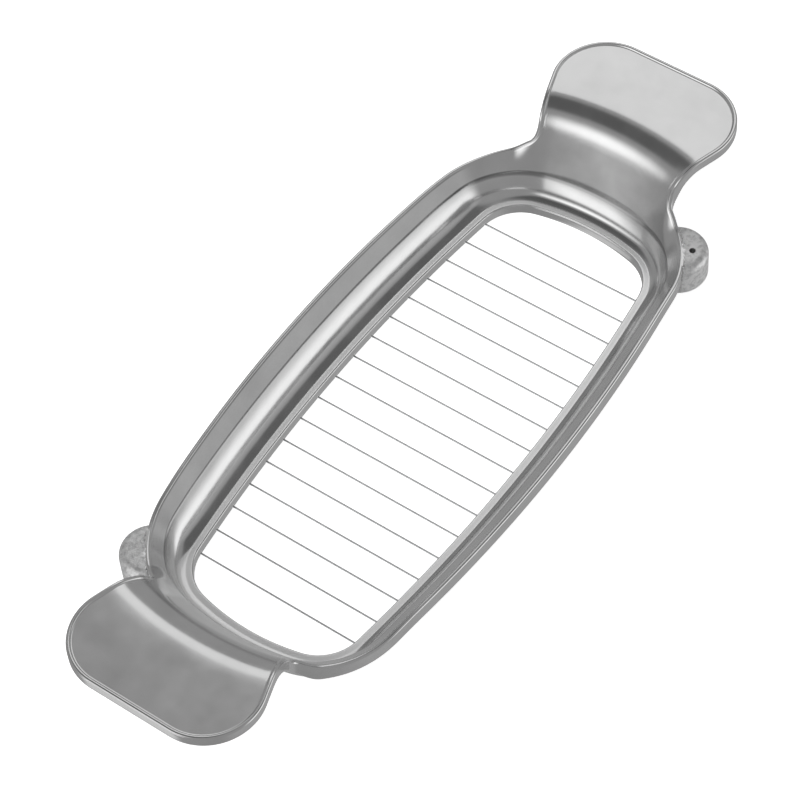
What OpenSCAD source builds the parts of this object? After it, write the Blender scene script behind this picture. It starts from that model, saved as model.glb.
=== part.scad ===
// Hand-held press-through egg slicer: a one-piece cast aluminium frame with a paddle at each end,
// and one stainless wire laced to and fro across its opening and clamped under two corner screws.
// +X runs along the frame, +Z is up, and the frame stands on the flat underside of its lip at z = 0.

/* [Wires] */
// Number of spans across the opening, odd so that the wire starts and ends at opposite corners
wire_count = 17; // [11:2:17]
// Distance from one span to the next
wire_pitch = 6.35; // [5:0.05:6.35]
// Diameter of the wire
wire_d = 0.4; // [0.3:0.05:0.45]
// Height of the wire's centre line above the underside of the lip
wire_z = 0.5; // [0.4:0.05:0.6]

/* [Opening] */
// Half the length of the opening
open_hl = 60.7; // [60:0.1:62]
// Half the width of the opening
open_hw = 22.8; // [22:0.1:23.5]
// Radius of the corners of the opening
open_rc = 10; // [8:0.5:12]

/* [Bowl and rim] */
// Half the length of the rim
rim_hl = 70.8; // [70:0.1:71.5]
// Half the width of the rim
rim_hw = 32.7; // [32:0.1:33.5]
// Height of the top of the rim along the sides
rim_z = 12.9; // [12.5:0.1:13.5]
// Depth of the rim's outer edge
rim_t = 4; // [3.5:0.1:4.5]
// Height of the crease between flange and bowl along the sides
crease_z = 9.3; // [9:0.1:9.6]
// How far flange, rim and crease come down towards the two ends
end_drop = 1.3; // [1:0.1:1.5]
// Width of the raised bead that runs round the edge
bead_w = 0.9; // [0.7:0.1:1.2]
// Height of that bead
bead_h = 0.35; // [0.2:0.05:0.5]

/* [Paddles] */
// Distance from the middle of the frame to the tip of a paddle
paddle_tip = 95.2; // [94:0.1:96]
// Height of the flat of a paddle
paddle_z = 21.5; // [21:0.1:22]
// Thickness of a paddle
paddle_t = 2.4; // [2:0.1:2.6]
// Radius of the two outer corners of a paddle
paddle_r = 11.9; // [11:0.1:12.5]
// Radius of the bend between the flat and the slope below it
bend_r = 9; // [8.5:0.1:9.5]

/* [Corner lugs] */
// Radius of a lug
lug_r = 6.5; // [6.2:0.1:6.6]
// Height of the seat under a lug
seat_z = 3.8; // [3.6:0.1:4]
// Height of the top of a lug
lug_top_z = 11.4; // [11.2:0.1:11.5]
// Diameter of the small hole that comes out of the top of a lug
pilot_d = 1.4; // [1:0.1:1.6]

/* [Anchor screws] */
// Diameter of a screw's shank
screw_d = 2.5; // [2.2:0.1:2.6]
// Length of a screw under its head
screw_len = 6; // [5:0.5:6]
// Diameter of a screw's head
head_d = 4.6; // [4.2:0.1:4.8]
// Height of a screw's head
head_h = 1.5; // [1.2:0.1:1.6]
// Outer diameter of a washer
washer_d = 5; // [4.8:0.1:5]
// Thickness of a washer
washer_t = 0.5; // [0.4:0.05:0.6]

/* [Hidden] */
$fn = 64;
// Radial room between a wire and its groove
groove_gap = 0.03;
// Radial running clearance of a shank in its hole and in its washer
run_gap = 0.05;
// Thickness of the lip wall
lip_t = 3.1;
// Radii of the side and end arcs of the opening, the crease and the rim
open_arcs = [405, 50];
crease_arcs = [375, 60];
rim_arcs = [345, 60];
// Half length, half width and corner radius of the crease
crease_hl = 65.4;
crease_hw = 28.9;
crease_rc = 17;
rim_rc = 24;
// Width of the ring round the opening, its height at the opening and at its outer edge
ring_w = 1.5;
ring_in_z = 2.6;
ring_out_z = 2.4;
// The bowl's wall from ring to crease: share of the way out, and share of the way up
wall_steps = [[0.21, 0.055], [0.5, 0.23], [0.79, 0.56]];
// Where flange, rim and crease start to come down, and where they are all the way down
drop_x = [42, 62];
// Slope of the neck, and the places where it leaves the bowl and meets the paddle's flat
neck_slope = 60;
neck_foot = [65.9, 8.2];
bend_x = 78.4;
// The neck is dished: its slope and bend turn about an upright axis at this distance from the middle
neck_axis_x = 5.4;
// The neck's fillet with the rim, and the flare of the paddle's sides
fillet_c = [68.38, 19.3];
fillet_r = 2;
fillet_a = [213, 288];
flare = 18;
corner_y = 9.5;
// Middle of the right-hand lug, and axis of its screw
lug_c = [60.5, -23.4];
// Rounding of a lug's upper edge
lug_round = 1.8;
screw_c = [61.4, -26.4];
bore_top_z = seat_z + screw_len;
washer_z = seat_z - wire_d - washer_t - 0.06;
loop_r = screw_d / 2 + wire_d / 2 + 0.15;

function two(n) = n < 10 ? str("0", n) : str(n);
function wire_name(i) = str("wire_", two(i));

// Points on an arc, from angle a to angle b in n steps
function arc(c, r, a, b, n) = [for (i = [0:n]) c + r * [cos(a + (b - a) * i / n), sin(a + (b - a) * i / n)]];

// A barrel-sided outline from arcs: two long side arcs, two end arcs and four corners, all tangent.
// hl and hw are its half length and half width, rs and re the side and end radii, rc the corner's.
function corner_centre(hl, hw, rs, re, rc) =
    let (cs = [0, hw - rs], ce = [hl - re, 0], d = norm(ce - cs), u = (ce - cs) / d)
    let (a = ((rs - rc) ^ 2 - (re - rc) ^ 2 + d * d) / (2 * d), h = sqrt((rs - rc) ^ 2 - a * a))
    cs + a * u + h * [u.y, -u.x];
function quarter(hl, hw, rs, re, rc) =
    let (cs = [0, hw - rs], ce = [hl - re, 0], cc = corner_centre(hl, hw, rs, re, rc))
    let (ae = atan2(cc.y - ce.y, cc.x - ce.x), as = atan2(cc.y - cs.y, cc.x - cs.x))
    concat(arc(ce, re, 0, ae * 2 / 3, 2), arc(cc, rc, ae, as, 6), arc(cs, rs, as + (90 - as) / 6, 90, 5));
function barrel(hl, hw, arcs, rc, d = 0) =
    let (q = quarter(hl + d, hw + d, arcs[0] + d, arcs[1] + d, rc + d), m = len(q) - 1)
    concat(
        [for (i = [0:m - 1]) q[i]], [for (i = [m:-1:1]) [-q[i].x, q[i].y]],
        [for (i = [0:m - 1]) -q[i]], [for (i = [m:-1:1]) [q[i].x, -q[i].y]]
    );
function lip(d) = barrel(open_hl, open_hw, open_arcs, open_rc, d);
function crease(d) = barrel(crease_hl, crease_hw, crease_arcs, crease_rc, d);
function rim(d) = barrel(rim_hl, rim_hw, rim_arcs, rim_rc, d);

// The drop at a given x, growing smoothly round the corners
function drop(x) =
    let (t = max(0, min(1, (abs(x) - drop_x[0]) / (drop_x[1] - drop_x[0]))))
    end_drop * t * t * (3 - 2 * t);
function at_z(outline, z) = [for (p = outline) [p.x, p.y, z]];
function dropped(outline, z) = [for (p = outline) [p.x, p.y, z - drop(p.x)]];
function wall_row(step) =
    let (a = lip(ring_w), b = crease(0))
    [for (i = [0:len(a) - 1])
        let (p = a[i] + (b[i] - a[i]) * step[0])
        [p.x, p.y, ring_out_z + (crease_z - drop(b[i].x) - ring_out_z) * step[1]]];

// The bowl's section, as rows of points that run round the opening, from the lip up and back under
bowl_rows = [
    at_z(lip(0), 0),
    at_z(lip(0), ring_in_z - 0.25),
    at_z(lip(0.3), ring_in_z),
    at_z(lip(ring_w), ring_out_z),
    for (step = wall_steps) wall_row(step),
    dropped(crease(0), crease_z),
    dropped(rim(-bead_w - 0.1), rim_z - bead_h),
    dropped(rim(-bead_w + 0.1), rim_z),
    dropped(rim(-0.15), rim_z),
    dropped(rim(0), rim_z - 0.2),
    dropped(rim(0), rim_z - rim_t + 0.3),
    dropped(rim(-0.35), rim_z - rim_t),
    dropped(rim(-1.4), rim_z - rim_t),
    at_z(lip(2 * lip_t), 3),
    at_z(lip(lip_t), 1.3),
    at_z(lip(lip_t), 0)
];

// A closed skin over rows of points: ring shaped, so each row and the list of rows both close up
module skin_ring(rows) {
    m = len(rows);
    n = len(rows[0]);
    polyhedron(
        points = [for (row = rows) each row],
        faces = [
            for (j = [0:m - 1], i = [0:n - 1])
                let (a = j * n + i, b = j * n + (i + 1) % n)
                let (c = ((j + 1) % m) * n + (i + 1) % n, d = ((j + 1) % m) * n + i)
                each [[a, b, d], [b, c, d]]
        ]
    );
}

// A round tube along a path that is nowhere vertical, with closed ends
module tube(path, r) {
    sides = 8;
    m = len(path);
    function dir(i) = path[min(i + 1, m - 1)] - path[max(i - 1, 0)];
    function ring_at(i) =
        let (t = dir(i) / norm(dir(i)), s = cross(t, [0, 0, 1]), u = s / norm(s), v = cross(u, t))
        [for (k = [0:sides - 1]) path[i] + r * (cos(360 * k / sides) * u + sin(360 * k / sides) * v)];
    polyhedron(
        points = [for (i = [0:m - 1]) each ring_at(i)],
        faces = concat(
            [[for (k = [0:sides - 1]) k]],
            [[for (k = [sides - 1:-1:0]) (m - 1) * sides + k]],
            [for (i = [0:m - 2], k = [0:sides - 1])
                let (a = i * sides + k, b = i * sides + (k + 1) % sides)
                each [[a, a + sides, b], [b, a + sides, b + sides]]]
        )
    );
}

// Half of the paddle's plan, set in from its edge by d, and the whole plan
function paddle_half(d) = concat(
    [[60, 15 - d]],
    arc(fillet_c, fillet_r + d, fillet_a[0], fillet_a[1], 5),
    arc([paddle_tip - paddle_r, corner_y], paddle_r - d, 90 + flare, 0, 9)
);
function paddle_plan(d) =
    let (half = paddle_half(d), m = len(half) - 1)
    concat(half, [for (i = [m:-1:0]) [half[i].x, -half[i].y]]);

// The side view of neck and paddle, with its upper face raised by h
function paddle_side(h) =
    let (c = [bend_x, paddle_z - bend_r], s = [-sin(neck_slope), cos(neck_slope)])
    let (low = c + (bend_r - paddle_t) * s)
    concat(
        [[paddle_tip + 5, paddle_z - paddle_t], [paddle_tip + 5, paddle_z + h]],
        arc(c, bend_r + h, 90, 90 + neck_slope, 8),
        [neck_foot + h * s, low - 10.7 * [cos(neck_slope), sin(neck_slope)]],
        arc(c, bend_r - paddle_t, 90 + neck_slope, 90, 6)
    );

module paddle_body(h) {
    translate([neck_axis_x, 0, 0]) rotate_extrude(angle = 60, start = -30)
        polygon([for (p = paddle_side(h)) p - [neck_axis_x, 0]]);
}

module paddle() {
    intersection() {
        paddle_body(0);
        linear_extrude(40) polygon(paddle_plan(bead_w / 2));
    }
    intersection() {
        paddle_body(bead_h);
        linear_extrude(40) difference() {
            polygon(paddle_plan(0));
            polygon(paddle_plan(bead_w));
        }
    }
}

// A lug stands outside the bowl: its inner side ends inside the bowl's wall and inside the rim
module lug() {
    rim_low_z = rim_z - end_drop - rim_t + 0.3;
    difference() {
        translate([lug_c.x, lug_c.y, seat_z]) cylinder(h = rim_low_z - seat_z, r = lug_r);
        linear_extrude(40) polygon(crease(0.3));
    }
    difference() {
        translate([lug_c.x, lug_c.y, 0]) rotate_extrude()
            polygon(concat(
                [[0, rim_low_z], [lug_r, rim_low_z]],
                arc([lug_r - lug_round, lug_top_z - lug_round], lug_round, 0, 90, 5),
                [[0, lug_top_z]]
            ));
        linear_extrude(40) polygon(rim(-0.5));
    }
}

module screw_bore() {
    translate([screw_c.x, screw_c.y, seat_z - 1]) cylinder(h = screw_len + 1, d = screw_d + 2 * run_gap);
}

// Only in the right-hand lug the tip of the drilling comes out of the top
module pilot_hole() {
    translate([screw_c.x, screw_c.y, bore_top_z - 1]) cylinder(h = 6, d = pilot_d);
}

module at_both_ends() {
    children();
    rotate([0, 0, 180]) children();
}

function wire_x(i) = (i - (wire_count + 1) / 2) * wire_pitch;
// Half length of a span: out to the outer face of the lip wall
function wire_end(x) = open_hw + lip_t + 0.05 - open_arcs[0] + sqrt(open_arcs[0] ^ 2 - x * x);

module frame() {
    groove_w = wire_d + 2 * groove_gap;
    color([0.76, 0.77, 0.78]) difference() {
        union() {
            skin_ring(bowl_rows);
            at_both_ends() paddle();
            at_both_ends() lug();
        }
        at_both_ends() screw_bore();
        pilot_hole();
        for (i = [1:wire_count])
            translate([wire_x(i) - groove_w / 2, -40, -1]) cube([groove_w, 80, wire_z + 1 + groove_w / 2]);
    }
}

module wire_span(i) {
    x = wire_x(i);
    color([0.86, 0.87, 0.88]) translate([x, wire_end(x), wire_z])
        rotate([90, 0, 0]) cylinder(h = 2 * wire_end(x), d = wire_d, $fn = 24);
}

// The bend from span i to the next one, along the outer face of the lip on the given side
module wire_return(i, side) {
    a = [wire_x(i), side * wire_end(wire_x(i)), wire_z];
    b = [wire_x(i + 1), side * wire_end(wire_x(i + 1)), wire_z];
    out = [0, side * 0.35, 0];
    turn = [0.35, 0, 0];
    tube([a, a + out * 0.6 + turn * 0.2, a + out + turn, b + out - turn, b + out * 0.6 - turn * 0.2, b], wire_d / 2);
}

module wire_returns(side) {
    first = side < 0 ? 1 : 2;
    color([0.82, 0.83, 0.84]) for (i = [first:2:wire_count - 1]) wire_return(i, side);
}

// From the last span, down the outside of the bowl and once round the right-hand screw
module wire_tail() {
    x = wire_x(wire_count);
    loop_z = seat_z - wire_d / 2 - 0.03;
    route = [
        [x, -wire_end(x), wire_z],
        [x + 0.3, -wire_end(x) - 0.35, wire_z + 0.05],
        [x + 2.7, -24, 1.2],
        [x + 5.7, -24.6, 2.2],
        [58.9, -24.5, loop_z]
    ];
    loop = [for (a = [90:-24:-198]) [screw_c.x + loop_r * cos(a), screw_c.y + loop_r * sin(a), loop_z]];
    color([0.82, 0.83, 0.84]) tube(concat(route, loop), wire_d / 2);
}

module anchor_washer() {
    color([0.78, 0.79, 0.8]) translate([screw_c.x, screw_c.y, washer_z]) difference() {
        cylinder(h = washer_t, d = washer_d);
        translate([0, 0, -1]) cylinder(h = washer_t + 2, d = screw_d + 2 * run_gap);
    }
}

// Slotted cheese-head screw, put in from below
module anchor_screw() {
    slot_w = 0.6;
    slot_depth = 0.7;
    color([0.8, 0.8, 0.81]) translate([screw_c.x, screw_c.y, washer_z]) difference() {
        union() {
            translate([0, 0, -head_h]) cylinder(h = head_h, d = head_d);
            cylinder(h = screw_len - 0.3, d = screw_d);
        }
        translate([-head_d, -slot_w / 2, -head_h - 1]) cube([2 * head_d, slot_w, slot_depth + 1]);
    }
}

frame();
for (i = [1:wire_count]) wire_span(i);
wire_returns(1);  // wire_returns_left
wire_returns(-1);  // wire_returns_right
rotate([0, 0, 180]) wire_tail();  // wire_tail_left
wire_tail();  // wire_tail_right
rotate([0, 0, 180]) anchor_screw();  // anchor_screw_left
anchor_screw();  // anchor_screw_right
rotate([0, 0, 180]) anchor_washer();  // anchor_washer_left
anchor_washer();  // anchor_washer_right
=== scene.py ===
"""Looks of the hand-held press-through egg slicer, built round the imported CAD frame.

The casting is one smooth shell: a grid whose columns run outwards from the opening and whose rows
run round it, from the lip over bowl, flange, neck and paddle to the edge, and back underneath.
Lengths are in millimetres until a mesh is made. Every outline has two mirror planes, so it is
worked out for one quarter and mirrored.
"""

import math

import bmesh
import bpy
import numpy as np
from mathutils import Matrix, Vector


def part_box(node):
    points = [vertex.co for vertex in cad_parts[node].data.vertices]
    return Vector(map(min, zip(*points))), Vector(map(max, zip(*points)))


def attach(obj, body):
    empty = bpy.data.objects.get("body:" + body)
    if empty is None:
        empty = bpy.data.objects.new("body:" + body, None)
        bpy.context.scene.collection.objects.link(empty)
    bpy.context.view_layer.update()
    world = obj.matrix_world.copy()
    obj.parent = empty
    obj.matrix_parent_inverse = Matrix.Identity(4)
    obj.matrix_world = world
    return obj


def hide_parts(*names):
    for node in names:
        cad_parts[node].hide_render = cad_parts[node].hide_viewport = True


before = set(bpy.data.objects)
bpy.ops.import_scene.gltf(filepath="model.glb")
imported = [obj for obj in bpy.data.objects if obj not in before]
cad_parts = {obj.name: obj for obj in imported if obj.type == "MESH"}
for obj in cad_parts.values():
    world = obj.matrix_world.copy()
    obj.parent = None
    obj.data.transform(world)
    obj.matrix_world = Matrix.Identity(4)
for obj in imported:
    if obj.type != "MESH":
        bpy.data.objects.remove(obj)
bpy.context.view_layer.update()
MM = 0.001

# ---------------------------------------------------------------- sizes, in mm
OPEN_HW = 22.8
OPEN_SIDE_R = 405

WIRE_COUNT = 17
WIRE_PITCH = 6.35
WIRE_R = 0.2
WIRE_Z = 0.5
GROOVE_W = 0.46
RETURN_R = 0.34
LOOP_R = 1.6

LIP_T = 3.1
RING_W = 1.5
RING_IN_Z = 2.6
RING_OUT_Z = 2.4
CREASE_Z = 9.3
END_DROP = 1.3
DROP_FROM, DROP_TO = 42.0, 62.0
FLANGE_TAN = 1.17
FLANGE_W = 2.75
RIM_T = 4.0
BEAD_W = 1.0
BEAD_H = 0.35
RIM_Z = CREASE_Z + FLANGE_TAN * FLANGE_W + BEAD_H

NECK_HW = 21.0
NECK_FLARE_X, NECK_FLARE = 66.0, 1.2
NECK_SOFT = 4.2
NECK_SLOPE = math.radians(60)
BEND_D = 13.0
BEND_R = 9.0
RUN_OUT_D, RUN_OUT_REACH = 15.6, 7.0
PADDLE_Z = 21.5
PADDLE_T = 2.4
PADDLE_TIP = 95.2
PADDLE_R = 11.9
PADDLE_CORNER_Y = 9.5
PADDLE_FLARE = math.radians(18)
FILLET_R = 2.0

LUG = np.array([60.5, -23.4])
LUG_R = 6.5
LUG_ROUND = 1.8
LUG_TOP_Z = 11.4
SEAT_Z = 3.8
SCREW = np.array([61.4, -26.4])
BORE_R = 1.3
BORE_TOP_Z = 9.8
PILOT_R = 0.7

HEAD_R = 2.3
HEAD_H = 1.5
SHANK_R = 1.25
SLOT_W = 0.6
SLOT_DEPTH = 0.7


# ---------------------------------------------------------------- plan outlines
class Barrel:
    """A barrel-sided outline of tangent arcs, described in its first quarter, +x round to +y."""

    def __init__(self, half_length, half_width, side_r, end_r, corner_r):
        self.radii = np.array([end_r, corner_r, side_r])
        side = np.array([0.0, half_width - side_r])
        end = np.array([half_length - end_r, 0.0])
        d = np.linalg.norm(end - side)
        u = (end - side) / d
        a = ((side_r - corner_r) ** 2 - (end_r - corner_r) ** 2 + d * d) / (2 * d)
        h = math.sqrt((side_r - corner_r) ** 2 - a * a)
        corner = side + a * u + h * np.array([u[1], -u[0]])
        self.centres = np.array([end, corner, side])
        to_corner = math.atan2(*(corner - end)[::-1])
        from_corner = math.atan2(*(corner - side)[::-1])
        self.angles = np.array([0.0, to_corner, from_corner, math.pi / 2])

    def at(self, t, offset=0.0):
        """Points at t: 0 to 1 along the end arc, to 2 round the corner, to 3 along the side."""
        t = np.atleast_1d(np.asarray(t, float))
        arc = np.clip(t.astype(int), 0, 2)
        angle = self.angles[arc] + (self.angles[arc + 1] - self.angles[arc]) * (t - arc)
        way = np.stack([np.cos(angle), np.sin(angle)], axis=-1)
        return self.centres[arc] + way * (self.radii[arc] + offset)[:, None]

    def lengths(self):
        return self.radii * np.diff(self.angles)

    def outside(self, p):
        """How far points of the first quarter lie outside the outline."""
        q = np.abs(p)
        rel = q[..., None, :] - self.centres
        angle = np.arctan2(rel[..., 1], rel[..., 0])
        arc = np.where(angle[..., 0] < self.angles[1], 0, np.where(angle[..., 2] > self.angles[2], 2, 1))
        away = np.linalg.norm(rel, axis=-1) - self.radii
        return np.take_along_axis(away, arc[..., None], axis=-1)[..., 0]


lip = Barrel(60.7, OPEN_HW, OPEN_SIDE_R, 50, 10)
crease = Barrel(65.4, 28.9, 375, 60, 17)
rim = Barrel(70.8, 32.7, 345, 60, 24)


def smooth(t):
    """A soft step from 0 to 1."""
    t = np.clip(t, 0, 1)
    return t * t * (3 - 2 * t)


def edge_quarter():
    """The casting's edge from the middle of a paddle's tip round to the middle of a side.

    Returns points, outward normals, and for each the place on the crease that its column starts from.
    """
    paddle_c = np.array([PADDLE_TIP - PADDLE_R, PADDLE_CORNER_Y])
    side_n = np.array([-math.sin(PADDLE_FLARE), math.cos(PADDLE_FLARE)])
    # the fillet's circle touches the paddle's straight side and the rim's corner arc from outside
    rim_c, rim_r = rim.centres[1], rim.radii[1]
    along = np.array([-side_n[1], side_n[0]])
    base = paddle_c + side_n * (PADDLE_R + FILLET_R)
    rel = base - rim_c
    b, c = rel @ along, rel @ rel - (rim_r + FILLET_R) ** 2
    fillet_c = base + along * (-b - math.sqrt(b * b - c))
    to_rim = (rim_c - fillet_c) / np.linalg.norm(rim_c - fillet_c)
    a_side = math.atan2(-side_n[1], -side_n[0]) % (2 * math.pi)
    a_rim = math.atan2(to_rim[1], to_rim[0]) % (2 * math.pi)
    a_join = math.atan2(-to_rim[1], -to_rim[0])

    pts, nrm, start = [], [], []

    def add(p, n, s):
        pts.append(p)
        nrm.append(n)
        start.append(s)

    def arc(centre, radius, a0, a1, s0, s1, steps, sign=1):
        for t in np.arange(1, steps + 1) / steps:
            way = np.array([math.cos(a0 + (a1 - a0) * t), math.sin(a0 + (a1 - a0) * t)])
            add(centre + radius * way, sign * way, s0 + (s1 - s0) * t)

    # where on the crease the columns start that end at the edge's joints
    ends = np.cumsum([0.0, 3.2, 8.6, 3.4, 3.2])
    corner_end = crease.lengths()[:2].sum()
    whole = crease.lengths().sum()
    for t in np.arange(0, 9) / 8:
        add(np.array([PADDLE_TIP, PADDLE_CORNER_Y * t]), np.array([1.0, 0.0]), ends[1] * t)
    arc(paddle_c, PADDLE_R, 0, math.pi / 2 + PADDLE_FLARE, ends[1], ends[2], 40)
    p0, p1 = paddle_c + side_n * PADDLE_R, fillet_c - side_n * FILLET_R
    for t in np.arange(1, 13) / 12:
        add(p0 + (p1 - p0) * t, side_n, ends[2] + (ends[3] - ends[2]) * t)
    arc(fillet_c, FILLET_R, a_side, a_rim, ends[3], ends[4], 16, -1)
    arc(rim_c, rim_r, a_join, rim.angles[2], ends[4], corner_end, 36)
    arc(rim.centres[2], rim.radii[2], rim.angles[2], math.pi / 2, corner_end, whole, 48)
    return np.array(pts), np.array(nrm), np.array(start)


def crease_place(s):
    """Turns a length along the crease's quarter into a place t for Barrel.at."""
    marks = np.concatenate([[0.0], np.cumsum(crease.lengths())])
    return np.interp(s, marks, [0, 1, 2, 3])


# ---------------------------------------------------------------- heights over the plan
def drop(x):
    """How far flange, rim and crease have come down at x."""
    return END_DROP * smooth((np.abs(x) - DROP_FROM) / (DROP_TO - DROP_FROM))


def neck_share(p):
    """0 on the flange, 1 on neck and paddle, with a soft change in the corner between them."""
    q = np.abs(p)
    flare = NECK_FLARE * np.maximum(0, q[..., 0] - NECK_FLARE_X)
    return smooth(((NECK_HW - q[..., 1]) + flare) / NECK_SOFT)


def neck_height(d, under=0.0):
    """Height of neck and paddle at distance d outside the crease, a depth under their upper face."""
    radius = BEND_R - under
    top = PADDLE_Z - BEND_R
    leave = BEND_D - radius * math.sin(NECK_SLOPE)
    leave_z = top + radius * math.cos(NECK_SLOPE)
    slope = leave_z + math.tan(NECK_SLOPE) * (d - leave)
    bend = top + np.sqrt(np.maximum(radius**2 - np.minimum(d - BEND_D, 0) ** 2, 0))
    return np.where(d < leave, slope, bend)


def upper(p):
    """Height of the flange's, neck's or paddle's upper face at p."""
    d = crease.outside(p)
    foot = CREASE_Z - drop(p[..., 0])
    share = neck_share(p)
    flange = foot + FLANGE_TAN * d
    return flange * (1 - share) + neck_height(d) * share


def lower(p):
    """Height of the rim's, neck's or paddle's underside at p."""
    d = crease.outside(p)
    share = neck_share(p)
    rim_low = RIM_Z - RIM_T - drop(p[..., 0])
    return rim_low * (1 - share) + neck_height(d, PADDLE_T) * share


# ---------------------------------------------------------------- the casting's grid
def casting_rows():
    """Rows of points of one quarter, from the lip's foot over the top to the edge and back under."""
    edge, normal, start = edge_quarter()
    t = crease_place(start)
    rows = []

    def level(plan, z):
        rows.append(np.column_stack([plan, np.broadcast_to(z, len(plan))]))

    def draped(plan, height=upper, lift=0.0):
        rows.append(np.column_stack([plan, height(plan) + lift]))

    # lip: straight inner wall with a small radius at its top, then the ring's slope
    lip_foot = ((0.15, 0.0), (0.04, 0.04), (0, 0.15), (0, 0.8), (0, 1.5), (0, 2.1))
    lip_top = ((0.03, 2.3), (0.1, 2.45), (0.2, 2.55), (0.32, 2.58))
    for out, z in lip_foot + lip_top:
        level(lip.at(t, out), z)
    ring_from = lip_top[-1][0]
    for k in np.linspace(0.15, 0.93, 9):
        level(lip.at(t, ring_from + (RING_W - ring_from) * k), RING_IN_Z + (RING_OUT_Z - RING_IN_Z) * k)
    # bowl wall: nearly flat at the ring, steep at the crease, and more so at the ends than at the sides
    ring, top = lip.at(t, RING_W), crease.at(t)
    crease_z = CREASE_Z - drop(top[:, 0])
    end = drop(top[:, 0]) / END_DROP
    for a in np.concatenate([np.linspace(0.04, 0.9, 26), [0.94, 0.975]]):
        climb = (1 - end) * (0.3 * a + 0.7 * a**3.2) + end * (0.12 * a + 0.88 * a**4)
        level(ring + (top - ring) * a, RING_OUT_Z + (crease_z - RING_OUT_Z) * climb)
    # flange, neck and paddle
    inner, outer = crease.at(t, 0.12), edge - 1.6 * normal
    for a in np.linspace(0, 1, 44):
        draped(inner + (outer - inner) * a)
    draped(edge - 1.25 * normal)
    # the bead, level across, and the top of the outer edge
    held = upper(edge - (BEAD_W + 0.05) * normal)
    bead_in = ((1.05, 0.0), (0.96, 0.04), (0.89, 0.14), (0.82, 0.25), (0.74, 0.31), (0.62, 0.34))
    bead_out = ((0.48, 0.35), (0.34, 0.34), (0.22, 0.3), (0.12, 0.21), (0.04, 0.08), (0, -0.1))
    for inset, lift in bead_in + bead_out:
        level(edge - inset * normal, held + lift)
    # outer edge, then back underneath
    foot = lower(edge - 0.35 * normal)
    for k in (0.2, 0.5, 0.8):
        level(edge, held - 0.1 + (foot + 0.35 - held + 0.1) * k)
    for inset, lift in ((0, 0.35), (0.05, 0.18), (0.16, 0.06), (0.35, 0.0)):
        level(edge - inset * normal, foot + lift)
    # underneath: rim, neck and paddle inwards, then the bowl's outside down to the lip's foot
    under_end = crease.at(t, 2.5)
    under_start = edge - 0.5 * normal
    for a in np.linspace(0, 1, 30):
        draped(under_start + (under_end - under_start) * a, lower)
    last = rows[-1]
    skirt = lip.at(t, LIP_T)
    for a in np.concatenate([[0.985, 0.96], np.linspace(0.92, 0.04, 16)]):
        level(skirt + (last[:, :2] - skirt) * a, 1.3 + (last[:, 2] - 1.3) * (0.25 * a + 0.75 * a**3))
    for out, z in ((LIP_T, 1.1), (LIP_T, 0.6), (LIP_T, 0.15), (LIP_T - 0.04, 0.04), (LIP_T - 0.15, 0.0)):
        level(lip.at(t, out), z)
    for k in (0.75, 0.5, 0.25):
        level(lip.at(t, LIP_T * k), 0.0)
    return np.array(rows)


def left_run_out(p):
    """How much lower the left-hand neck lies: its bend runs out into the paddle more gently."""
    d = crease.outside(p[..., :2])
    fall = 0.0087 * np.clip(RUN_OUT_D - d, 0, RUN_OUT_REACH) ** 2
    return fall * neck_share(np.abs(p[..., :2])) * smooth((d - 1) / 6) * (p[..., 0] < 0)


def all_round(quarter):
    """Mirrors rows of a quarter into closed rows."""
    x, y = np.array([-1, 1, 1]), np.array([1, -1, 1])
    quarters = [quarter[:, :-1], (quarter * x)[:, :0:-1], (quarter * x * y)[:, :-1], (quarter * y)[:, :0:-1]]
    return np.concatenate(quarters, axis=1)


def mesh_object(name, points, faces):
    """An object from points in millimetres."""
    mesh = bpy.data.meshes.new(name)
    mesh.from_pydata((np.asarray(points) * MM).tolist(), [], [tuple(f) for f in faces])
    mesh.validate()
    mesh.update()
    obj = bpy.data.objects.new(name, mesh)
    bpy.context.collection.objects.link(obj)
    return obj


def grid_faces(rows, columns):
    """Quads of a grid that closes in both directions."""
    j, i = np.meshgrid(np.arange(rows), np.arange(columns), indexing="ij")
    j_next, i_next = (j + 1) % rows, (i + 1) % columns
    corners = [j * columns + i, j * columns + i_next, j_next * columns + i_next, j_next * columns + i]
    return np.stack(corners, axis=-1).reshape(-1, 4)


def outward(obj):
    """Turns every face's normal outwards."""
    bm = bmesh.new()
    bm.from_mesh(obj.data)
    bmesh.ops.recalc_face_normals(bm, faces=bm.faces)
    bm.to_mesh(obj.data)
    bm.free()


def casting_shell():
    """The casting without lugs and grooves."""
    rows = all_round(casting_rows())
    rows[..., 2] -= left_run_out(rows)
    obj = mesh_object("frame_casting", rows.reshape(-1, 3), grid_faces(rows.shape[0], rows.shape[1]))
    outward(obj)
    return obj


def lathe(name, profile, centre, steps=96):
    """A closed turned solid: profile is (radius, z) from the axis at the bottom to the axis on top."""
    angle = np.linspace(0, 2 * math.pi, steps, endpoint=False)
    points, faces = [], []
    inner = [p for p in profile if p[0] > 0]
    for r, z in inner:
        points += [(centre[0] + r * math.cos(a), centre[1] + r * math.sin(a), z) for a in angle]
    for k in range(len(inner) - 1):
        for i in range(steps):
            n = (i + 1) % steps
            faces.append((k * steps + i, k * steps + n, (k + 1) * steps + n, (k + 1) * steps + i))
    bottom, top = len(points), len(points) + 1
    points += [(centre[0], centre[1], profile[0][1]), (centre[0], centre[1], profile[-1][1])]
    last = (len(inner) - 1) * steps
    for i in range(steps):
        n = (i + 1) % steps
        faces.append((bottom, n, i))
        faces.append((top, last + i, last + n))
    obj = mesh_object(name, points, faces)
    outward(obj)
    return obj


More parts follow.
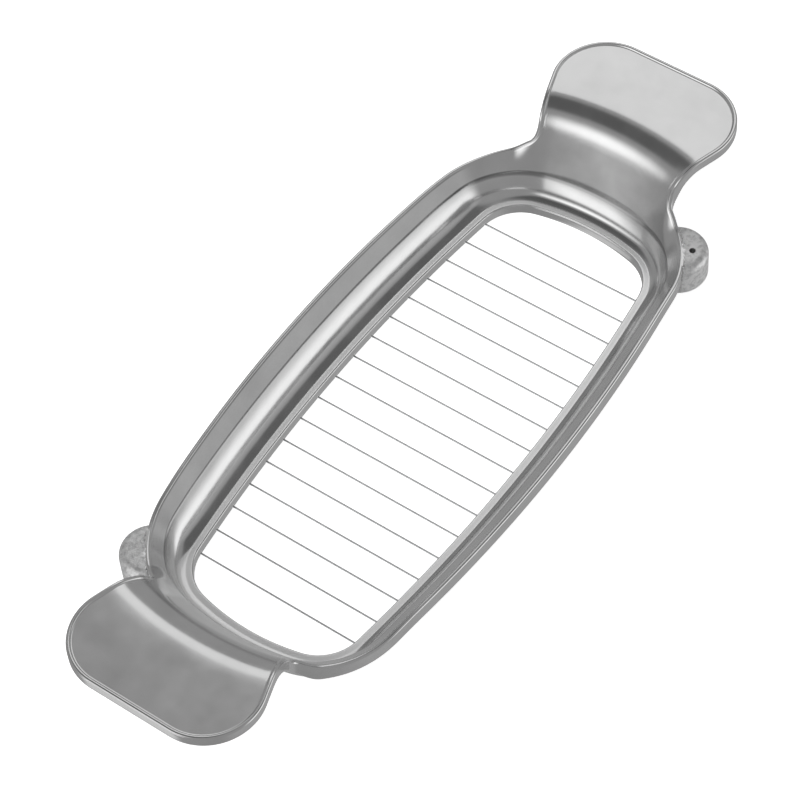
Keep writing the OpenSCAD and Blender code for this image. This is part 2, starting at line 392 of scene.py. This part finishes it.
def prism(name, outline, z0, z1):
    """A straight-sided solid over an outline."""
    n = len(outline)
    points = [(x, y, z0) for x, y in outline] + [(x, y, z1) for x, y in outline]
    faces = [tuple(range(n))[::-1], tuple(range(n, 2 * n))]
    faces += [(i, (i + 1) % n, n + (i + 1) % n, n + i) for i in range(n)]
    obj = mesh_object(name, points, faces)
    outward(obj)
    return obj


def block(name, low, high):
    """A box between two corners."""
    outline = [(low[0], low[1]), (high[0], low[1]), (high[0], high[1]), (low[0], high[1])]
    return prism(name, outline, low[2], high[2])


def combine(obj, other, operation):
    """Adds another solid to obj, or takes it away, and drops the other one."""
    mod = obj.modifiers.new("combine", "BOOLEAN")
    mod.operation = operation
    mod.solver = "EXACT"
    mod.object = other
    bpy.context.view_layer.objects.active = obj
    bpy.ops.object.modifier_apply(modifier=mod.name)
    bpy.data.objects.remove(other)


def half_turn(obj):
    """A copy of obj turned half round about the upright axis through the middle."""
    copy = obj.copy()
    copy.data = obj.data.copy()
    copy.data.transform(Matrix.Rotation(math.pi, 4, "Z"))
    bpy.context.collection.objects.link(copy)
    return copy


def closed_outline(barrel, offset, steps=40):
    """All four quarters of a barrel outline, offset outwards."""
    t = np.linspace(0, 3, 3 * steps + 1)
    quarter = barrel.at(t, offset)[None]
    quarter = np.concatenate([quarter, np.zeros((*quarter.shape[:2], 1))], axis=2)
    return all_round(quarter)[0, :, :2]


def lug():
    """The right-hand lug: a rounded boss that ends inside the bowl's wall and the rim."""
    edge_r, edge_z = LUG_R - LUG_ROUND, LUG_TOP_Z - LUG_ROUND
    turn_by = np.radians(np.arange(90, -1, -9))
    round_top = [(edge_r + LUG_ROUND * math.sin(a), edge_z + LUG_ROUND * math.cos(a)) for a in turn_by]
    dome = [(r, LUG_TOP_Z) for r in (4.0, 3.2, 2.3, 1.3, 0.4)]
    profile = [(0, SEAT_Z), (LUG_R - 0.5, SEAT_Z), (LUG_R - 0.15, SEAT_Z + 0.12), (LUG_R, SEAT_Z + 0.45)]
    obj = lathe("lug", profile + [(LUG_R, 6.0), (LUG_R, 8.0)] + round_top + dome + [(0, LUG_TOP_Z)], LUG)
    # above the rim's lower edge the lug stops at the rim, below it at the bowl
    split = RIM_Z - END_DROP - RIM_T + 0.3
    combine(obj, prism("cut_high", closed_outline(rim, -0.5), split, 20), "DIFFERENCE")
    combine(obj, prism("cut_low", closed_outline(crease, 0.6), -1, split + 0.01), "DIFFERENCE")
    return obj


def lug_hole(through):
    """A screw's blind bore; the tip of the right-hand drilling comes out of the lug's top."""
    tip = [(PILOT_R, BORE_TOP_Z + 0.4), (PILOT_R, 14), (0, 14)] if through else [(0, BORE_TOP_Z + 0.5)]
    return lathe("bore", [(0, SEAT_Z - 2), (BORE_R, SEAT_Z - 2), (BORE_R, BORE_TOP_Z), *tip], SCREW, 48)


def wire_x(i):
    """Where span i crosses the opening, counted from 1 at the left."""
    return (i - (WIRE_COUNT + 1) / 2) * WIRE_PITCH


def casting():
    """The whole casting: shell, lugs, their bores, and a groove under the lip for every span."""
    obj = casting_shell()
    one = lug()
    other = half_turn(one)
    combine(obj, one, "UNION")
    combine(obj, other, "UNION")
    combine(obj, lug_hole(True), "DIFFERENCE")
    blind = lug_hole(False)
    combine(obj, half_turn(blind), "DIFFERENCE")
    bpy.data.objects.remove(blind)
    grooves = []
    for i in range(1, WIRE_COUNT + 1):
        low = (wire_x(i) - GROOVE_W / 2, -40, -1)
        grooves.append(block("groove", low, (wire_x(i) + GROOVE_W / 2, 40, WIRE_Z + GROOVE_W / 2)))
    with bpy.context.temp_override(active_object=grooves[0], selected_editable_objects=grooves):
        bpy.ops.object.join()
    combine(obj, grooves[0], "DIFFERENCE")
    return obj


# ---------------------------------------------------------------- the wire
def wire_end(x):
    """Half the length of a span: out to the outer face of the lip."""
    return OPEN_HW + LIP_T + 0.05 - OPEN_SIDE_R + math.sqrt(OPEN_SIDE_R**2 - x * x)


def turn(x, y, x_to, y_to, steps=6):
    """Leaves a span end at (x, y), goes along the lip and comes back in at (x_to, y_to)."""
    side, way = math.copysign(1, y), math.copysign(1, x_to - x)
    points = []
    for a in np.linspace(0, math.pi / 2, steps):
        across, out = RETURN_R * (1 - math.cos(a)), RETURN_R * math.sin(a)
        points.append((x + way * across, y + side * out, WIRE_Z))
    for a in np.linspace(math.pi / 2, 0, steps):
        across, out = RETURN_R * (1 - math.cos(a)), RETURN_R * math.sin(a)
        points.append((x_to - way * across, y_to + side * out, WIRE_Z))
    return points


def spline(points, steps=6):
    """A smooth curve through points."""
    p = [np.array(q, float) for q in points]
    p = [2 * p[0] - p[1]] + p + [2 * p[-1] - p[-2]]
    out = []
    for k in range(1, len(p) - 2):
        before, here, there, after = p[k - 1 : k + 3]
        square = 2 * before - 5 * here + 4 * there - after
        cube = 3 * here - before - 3 * there + after
        for t in np.arange(steps) / steps:
            out.append(0.5 * (2 * here + (there - before) * t + square * t**2 + cube * t**3))
    out.append(p[-2])
    return [tuple(q) for q in out]


def tail():
    """From the last span to the right-hand screw and once round it."""
    x = wire_x(WIRE_COUNT)
    end = wire_end(x)
    loop_z = SEAT_Z - WIRE_R - 0.03
    route = [(x, -end, WIRE_Z), (x + 0.3, -end - 0.35, WIRE_Z + 0.05)]
    route += [(x + 2.7, -24, 1.2), (x + 5.7, -24.6, 2.2), (58.9, -24.5, loop_z)]
    for a in np.radians(np.arange(90, -199, -24)):
        route.append((SCREW[0] + LOOP_R * math.cos(a), SCREW[1] + LOOP_R * math.sin(a), loop_z))
    return spline(route)


def cutting_wire():
    """One round wire from the left-hand screw, to and fro over all spans, to the right-hand screw."""
    right = tail()
    path = [(-x, -y, z) for x, y, z in right[:0:-1]]
    for i in range(1, WIRE_COUNT + 1):
        x = wire_x(i)
        y = wire_end(x) * (1 if i % 2 else -1)
        path += [(x, y * k, WIRE_Z) for k in (1, 0.5, 0, -0.5)]
        if i < WIRE_COUNT:
            path += turn(x, -y, wire_x(i + 1), -wire_end(wire_x(i + 1)) * math.copysign(1, y))
    path += right
    curve = bpy.data.curves.new("cutting_wire", "CURVE")
    curve.dimensions = "3D"
    curve.bevel_depth = WIRE_R * MM
    curve.bevel_resolution = 3
    curve.use_fill_caps = True
    line = curve.splines.new("POLY")
    line.points.add(len(path) - 1)
    for point, (x, y, z) in zip(line.points, path):
        point.co = (x * MM, y * MM, z * MM, 1)
    obj = bpy.data.objects.new("cutting_wire", curve)
    bpy.context.collection.objects.link(obj)
    return obj


# ---------------------------------------------------------------- screws and washers
def place_of(node):
    """The middle of a CAD node in plan, and its lowest and highest z, in mm."""
    low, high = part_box(node)
    return np.array([(low[0] + high[0]) / 2, (low[1] + high[1]) / 2]) / MM, low[2] / MM, high[2] / MM


def anchor_screw(node):
    """A slotted cheese-head screw, head down."""
    centre, z0, z1 = place_of(node)
    head_z = z0 + HEAD_H
    head = [(0, z0 + 0.05), (1.2, z0 + 0.03), (HEAD_R - 0.45, z0), (HEAD_R - 0.2, z0 + 0.06)]
    head += [(HEAD_R - 0.06, z0 + 0.2), (HEAD_R, z0 + 0.45), (HEAD_R, head_z - 0.12), (HEAD_R - 0.1, head_z)]
    shank = [(SHANK_R, head_z), (SHANK_R, z1 - 0.5), (SHANK_R - 0.35, z1), (0, z1)]
    obj = lathe(node + "_turned", head + shank, centre, 64)
    slot_low = (centre[0] - 4, centre[1] - SLOT_W / 2, z0 - 1)
    slot_high = (centre[0] + 4, centre[1] + SLOT_W / 2, z0 + SLOT_DEPTH)
    combine(obj, block("slot", slot_low, slot_high), "DIFFERENCE")
    return obj


def anchor_washer(node):
    """A plain washer with broken edges."""
    centre, z0, z1 = place_of(node)
    inner, outer, edge = BORE_R, (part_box(node)[1][0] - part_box(node)[0][0]) / 2 / MM, 0.08
    z0 += 0.01  # just clear of the screw's head
    section = [(inner, z0 + edge), (inner + edge, z0), (outer - edge, z0), (outer, z0 + edge)]
    section += [(outer, z1 - edge), (outer - edge, z1), (inner + edge, z1), (inner, z1 - edge)]
    angle = np.linspace(0, 2 * math.pi, 64, endpoint=False)
    x, y = centre
    rows = [[(x + r * math.cos(a), y + r * math.sin(a), z) for a in angle] for r, z in section]
    obj = mesh_object(node + "_turned", np.array(rows).reshape(-1, 3), grid_faces(len(section), len(angle)))
    outward(obj)
    return obj


# ---------------------------------------------------------------- materials
def nodes_of(name):
    """A new metal material: the material, its tree, its shader, and a function that adds a node."""
    mat = bpy.data.materials.new(name)
    mat.use_nodes = True
    tree = mat.node_tree
    shader = tree.nodes["Principled BSDF"]
    shader.inputs["Metallic"].default_value = 1.0

    def node(kind, inputs=(), **settings):
        n = tree.nodes.new(kind)
        for key, value in settings.items():
            setattr(n, key, value)
        for key, value in dict(inputs).items():
            if isinstance(value, bpy.types.NodeSocket):
                tree.links.new(value, n.inputs[key])
            else:
                n.inputs[key].default_value = value
        return n

    return mat, tree, shader, node


def noise(node, place, per_mm, detail=3.0, roughness=0.5):
    """Noise with the given number of features a millimetre, from object coordinates in metres."""
    scaled = node("ShaderNodeMapping", {"Vector": place, "Scale": [per_mm / MM] * 3})
    settings = {"Vector": scaled.outputs[0], "Scale": 1.0, "Detail": detail, "Roughness": roughness}
    return node("ShaderNodeTexNoise", settings).outputs["Fac"]


def spread(node, value, low, high):
    """Stretches the middle of a noise's range to low and high."""
    settings = {"Value": value, "From Min": 0.3, "From Max": 0.7, "To Min": low, "To Max": high}
    return node("ShaderNodeMapRange", settings).outputs[0]


def math_node(node, operation, *values):
    return node("ShaderNodeMath", dict(enumerate(values)), operation=operation).outputs[0]


def gray(value):
    return (value, value, value, 1)


def gray_ramp(node, value, low, high):
    """A ramp between two (position, grey) stops."""
    ramp = node("ShaderNodeValToRGB", {"Fac": value})
    for element, (position, tone) in zip(ramp.color_ramp.elements, (low, high)):
        element.position, element.color = position, gray(tone)
    return ramp.outputs["Color"]


def mixed(node, share, color, other):
    """Color with a share of the other one mixed in."""
    factor, first, second, result = 0, 6, 7, 2  # the mix node's color sockets
    settings = {factor: share, first: color, second: other}
    return node("ShaderNodeMix", settings, data_type="RGBA").outputs[result]


def bumped(node, height, depth, normal=None):
    """The normal after a bump of the given depth in metres."""
    settings = {"Height": height, "Strength": 1.0, "Distance": depth}
    if normal is not None:
        settings["Normal"] = normal
    return node("ShaderNodeBump", settings).outputs[0]


def cast_aluminium():
    """Polished casting: slightly wavy and mottled, turned lines on the ring, satin underneath, rough lugs,
    and a dark line of painted shade along the crease.
    """
    mat, tree, shader, node = nodes_of("cast_aluminium")
    place = node("ShaderNodeTexCoord").outputs["Object"]

    def zone(name):
        return node("ShaderNodeAttribute", attribute_name=name).outputs["Fac"]

    def add(*values):
        return math_node(node, "ADD", *values)

    def times(*values):
        return math_node(node, "MULTIPLY", *values)

    as_cast, lugs, ring = zone("as_cast"), zone("lug"), zone("machined")
    from_lip, crease_shade = zone("from_lip"), zone("crease")
    patches = noise(node, place, 0.12, 4)
    grain = noise(node, place, 2.2, 2)
    pits = noise(node, place, 0.9, 4, 0.65)
    waves = noise(node, place, 0.16, 1)

    color = mixed(node, ring, gray_ramp(node, patches, (0.3, 0.7), (0.7, 0.79)), gray(0.94))
    color = mixed(node, times(lugs, 0.85), color, gray_ramp(node, pits, (0.38, 0.66), (0.56, 0.95)))
    # painted shade: the crease's upper side is darkened towards grey 0.2 as a thin dark line
    color = mixed(node, times(crease_shade, 0.75), color, gray(0.2))
    tree.links.new(color, shader.inputs["Base Color"])

    matte = add(times(ring, 0.6), times(as_cast, 0.1))
    tree.links.new(math_node(node, "SUBTRACT", 1.0, matte), shader.inputs["Metallic"])

    satin = math_node(node, "MULTIPLY_ADD", as_cast, 0.22, spread(node, patches, 0.15, 0.21))
    tree.links.new(math_node(node, "MULTIPLY_ADD", ring, 0.04, satin), shader.inputs["Roughness"])

    turned = times(math_node(node, "SINE", times(from_lip, 26.0)), ring)
    rough = times(pits, math_node(node, "MAXIMUM", lugs, times(as_cast, 0.25)))
    normal = bumped(node, waves, 0.00003)
    normal = bumped(node, grain, 0.0000025, normal)
    normal = bumped(node, rough, 0.00022, normal)
    normal = bumped(node, turned, 0.0000015, normal)
    tree.links.new(normal, shader.inputs["Normal"])
    return mat


def drawn_steel(name, color, low, high, per_mm):
    """Bright steel with fine scratches."""
    mat, tree, shader, node = nodes_of(name)
    place = node("ShaderNodeTexCoord").outputs["Object"]
    cloud = noise(node, place, per_mm, 3)
    ramp = node("ShaderNodeValToRGB", {"Fac": cloud})
    ramp.color_ramp.elements[0].color = (*[c * 0.86 for c in color], 1)
    ramp.color_ramp.elements[1].color = (*color, 1)
    tree.links.new(ramp.outputs["Color"], shader.inputs["Base Color"])
    tree.links.new(spread(node, cloud, low, high), shader.inputs["Roughness"])
    scratches = bumped(node, noise(node, place, per_mm * 6, 2), 0.000004)
    tree.links.new(scratches, shader.inputs["Normal"])
    return mat


def mark_zones(obj):
    """Writes the zones that the aluminium's material reads, from 0 to 1, and from_lip in mm."""
    mesh = obj.data
    count = len(mesh.vertices)
    place = np.empty(count * 3)
    mesh.vertices.foreach_get("co", place)
    place = place.reshape(-1, 3) / MM
    normal = np.array([v.normal[:] for v in mesh.vertices])
    plan = np.abs(place[:, :2])
    from_lip = lip.outside(plan)
    z = place[:, 2]
    # on a lug: on its straight side or its rounded top, and outside the rim
    lug_distances = [np.linalg.norm(place[:, :2] - middle, axis=1) for middle in (LUG, -LUG)]
    to_lug = np.minimum(*lug_distances)
    above = z - (LUG_TOP_Z - LUG_ROUND)
    from_round = np.hypot(np.maximum(to_lug - LUG_R + LUG_ROUND, 0), above) - LUG_ROUND
    from_lug = np.where(above < 0, to_lug - LUG_R, from_round)
    on_lug = (np.abs(from_lug) < 0.04) & (z > SEAT_Z) & (rim.outside(plan) > 0.15)
    # the crease's upper side, a thin line whose base colour the material darkens as painted shade, and
    # everything that faces down above the lip's foot
    line = smooth(1.6 - np.abs(crease.outside(plan) - 0.05) / 0.16) * (normal[:, 2] > 0.05)
    under = smooth((-normal[:, 2] - 0.1) / 0.3) * smooth((z - 0.3) / 0.5)
    # the ground ring, which is wider at the left-hand end
    left = smooth((-place[:, 0] - 50) / 8)
    ring_end = smooth((RING_W + 0.05 + 2 * left - from_lip) / (0.2 + 0.5 * left))
    machined = smooth((from_lip - 0.2) / 0.15) * ring_end
    machined *= smooth((2.75 + left - z) / 0.1) * smooth((z - 1.6) / 0.1)
    zones = {"as_cast": np.maximum(on_lug, under), "lug": on_lug, "machined": machined}
    for name, values in {**zones, "from_lip": from_lip, "crease": line}.items():
        layer = mesh.attributes.new(name, "FLOAT", "POINT")
        layer.data.foreach_set("value", values.astype(np.float32))


def finish_surface(obj, material, sharp_from=math.radians(38)):
    """Gives obj its material and smooth faces that meet sharply from an angle on."""
    obj.data.materials.clear()
    obj.data.materials.append(material)
    if obj.type == "MESH":
        obj.data.polygons.foreach_set("use_smooth", [True] * len(obj.data.polygons))
        obj.data.set_sharp_from_angle(angle=sharp_from)


# ---------------------------------------------------------------- studio
def camera():
    """At the photograph's viewing angle: a long lens, over the near left paddle, slightly rolled."""
    azimuth, elevation, roll = math.radians(-50.296), math.radians(54.062), math.radians(-5.39)
    distance, aim = 0.6468, Vector((0.0019, 0.0075, 0.0013))
    level = math.cos(elevation)
    back = Vector((math.sin(azimuth) * level, -math.cos(azimuth) * level, math.sin(elevation)))
    right = (-back).cross(Vector((0, 0, 1))).normalized()
    up = right.cross(-back)
    across, along = math.cos(roll), math.sin(roll)
    right, up = right * across + up * along, up * across - right * along
    data = bpy.data.cameras.new("camera")
    data.sensor_width = 36
    data.lens = 139.9
    obj = bpy.data.objects.new("camera", data)
    turned = Matrix((right, up, back)).transposed().to_4x4()
    obj.matrix_world = Matrix.Translation(aim + back * distance) @ turned
    bpy.context.collection.objects.link(obj)
    bpy.context.scene.camera = obj
    bpy.context.scene.view_settings.view_transform = "Standard"


def softbox(name, direction, distance, size, power):
    """A rectangular light that faces the object from a direction."""
    data = bpy.data.lights.new(name, "AREA")
    data.shape = "RECTANGLE"
    data.size, data.size_y = size
    data.energy = power
    obj = bpy.data.objects.new(name, data)
    way = Vector(direction).normalized()
    obj.matrix_world = Matrix.Translation(way * distance) @ way.to_track_quat("Z", "Y").to_matrix().to_4x4()
    bpy.context.collection.objects.link(obj)
    return obj


def studio():
    """Soft light from all round: a big softbox low on the left, a strip on the right, a dark ceiling.

    The world is described on a map of the sky, in degrees: the zenith is at (0, 0), the horizon is
    90 away from it, and the map's x and y point along the frame's.
    """
    world = bpy.data.worlds.new("studio")
    bpy.context.scene.world = world
    world.use_nodes = True
    tree = world.node_tree
    back = tree.nodes["Background"]

    def op(operation, a, b=0.0, c=0.0):
        n = tree.nodes.new("ShaderNodeMath")
        n.operation = operation
        for socket, value in zip(n.inputs, (a, b, c)):
            if isinstance(value, bpy.types.NodeSocket):
                tree.links.new(value, socket)
            else:
                socket.default_value = value
        return n.outputs[0]

    def fade(value, full, none):
        """1 up to full, falling softly to 0 at none."""
        n = tree.nodes.new("ShaderNodeMapRange")
        n.interpolation_type = "SMOOTHSTEP"
        tree.links.new(value, n.inputs["Value"])
        n.inputs["From Min"].default_value, n.inputs["From Max"].default_value = full, none
        n.inputs["To Min"].default_value, n.inputs["To Max"].default_value = 1.0, 0.0
        return n.outputs[0]

    split = tree.nodes.new("ShaderNodeSeparateXYZ")
    tree.links.new(tree.nodes.new("ShaderNodeTexCoord").outputs["Generated"], split.inputs[0])
    x, y, z = split.outputs
    flat = op("MAXIMUM", op("SQRT", op("ADD", op("MULTIPLY", x, x), op("MULTIPLY", y, y))), 0.0001)
    from_zenith = op("MULTIPLY", op("ARCCOSINE", z), math.degrees(1))
    azimuth = op("MULTIPLY", op("ARCTAN2", y, x), math.degrees(1))
    scale = op("DIVIDE", from_zenith, flat)
    sky_x, sky_y = op("MULTIPLY", x, scale), op("MULTIPLY", y, scale)

    def box_of(values, centre, full, none):
        away = [op("ABSOLUTE", op("SUBTRACT", v, c)) for v, c in zip(values, centre)]
        return op("MULTIPLY", *[fade(a, f, n) for a, f, n in zip(away, full, none)])

    def patch(centre, full, none):
        """A rectangle of the sky map: whole up to full from its centre, gone at none."""
        return box_of((sky_x, sky_y), centre, full, none)

    def window(centre, full, none):
        """The same in azimuth and angle from the zenith."""
        return box_of((azimuth, from_zenith), centre, full, none)

    def glow(centre, radius, core):
        """A soft-edged ellipse of the sky map."""
        parts = [op("DIVIDE", op("SUBTRACT", v, c), r) for v, c, r in zip((sky_x, sky_y), centre, radius)]
        squares = [op("MULTIPLY", part, part) for part in parts]
        return fade(op("SQRT", op("ADD", *squares)), core, 1.0)

    light = 0.32
    for strength, shape in (
        (1.05, glow((-59, 21), (27, 38), 0.15)),  # the big softbox
        (0.95, window((160, 111), (9, 6), (25, 18))),  # its gleam on the table
        (0.55, patch((39, 22), (11.5, 17), (15, 23))),  # the high strip
        (0.13, glow((30, -70), (32, 22), 0.2)),  # a pale wall low in front
        (0.88, window((-60, 102), (16, 5), (34, 24))),  # a second gleam on the table
        (0.26, window((-62, 88), (14, 3), (34, 9))),  # the horizon above it
        (0.40, window((135, 146), (8, 4), (24, 15))),  # a small gleam nearer on the table
        (0.08, window((-30, 150), (60, 15), (100, 40))),  # the table close to the object
        (-0.21, patch((-5, 18), (14, 11), (24, 24))),  # dark ceiling
        (-0.20, patch((28, -25), (6, 19), (12, 25))),  # a dark beam beside it
        (-0.16, glow((27, 62), (15, 18), 0.3)),  # a dark corner behind
    ):
        light = op("ADD", light, op("MULTIPLY", shape, strength))
    tree.links.new(op("MAXIMUM", light, 0.03), back.inputs["Color"])

    softbox("lamp", (-0.5, 0.3, 0.8), 1.8, (2.4, 2.4), 22).visible_glossy = False


def floor():
    """A plain white floor. It glows a little, so the shadow stays faint, and metal doesn't mirror it."""
    half = 3.0
    corners = [(-half, -half, 0), (half, -half, 0), (half, half, 0), (-half, half, 0)]
    mesh = bpy.data.meshes.new("floor")
    mesh.from_pydata(corners, [], [(0, 1, 2, 3)])
    obj = bpy.data.objects.new("floor", mesh)
    bpy.context.collection.objects.link(obj)
    obj.visible_glossy = False
    mat = bpy.data.materials.new("floor")
    mat.use_nodes = True
    shader = mat.node_tree.nodes["Principled BSDF"]
    shader.inputs["Base Color"].default_value = gray(0.9)
    shader.inputs["Roughness"].default_value = 1.0
    shader.inputs["Specular IOR Level"].default_value = 0.0
    shader.inputs["Emission Color"].default_value = gray(1)
    shader.inputs["Emission Strength"].default_value = 0.75
    obj.data.materials.append(mat)


# ---------------------------------------------------------------- putting it together
camera()
aluminium = cast_aluminium()
wire_steel = drawn_steel("stainless_wire", (0.78, 0.79, 0.8), 0.16, 0.26, 0.8)
plated = drawn_steel("plated_steel", (0.7, 0.7, 0.68), 0.28, 0.4, 0.5)

body = casting()
mark_zones(body)
finish_surface(body, aluminium)
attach(body, "slicer")
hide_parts("frame")

wire = cutting_wire()
wire.visible_glossy = False
finish_surface(wire, wire_steel)
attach(wire, "slicer")
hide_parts(*[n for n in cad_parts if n.startswith("wire_")])

plated_parts = (
    (anchor_screw, "anchor_screw_", "screw_"),
    (anchor_washer, "anchor_washer_", "washer_"),
)
for side in ("left", "right"):
    for make, node, group in plated_parts:
        piece = make(node + side)
        finish_surface(piece, plated)
        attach(piece, group + side)
        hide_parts(node + side)

floor()
studio()
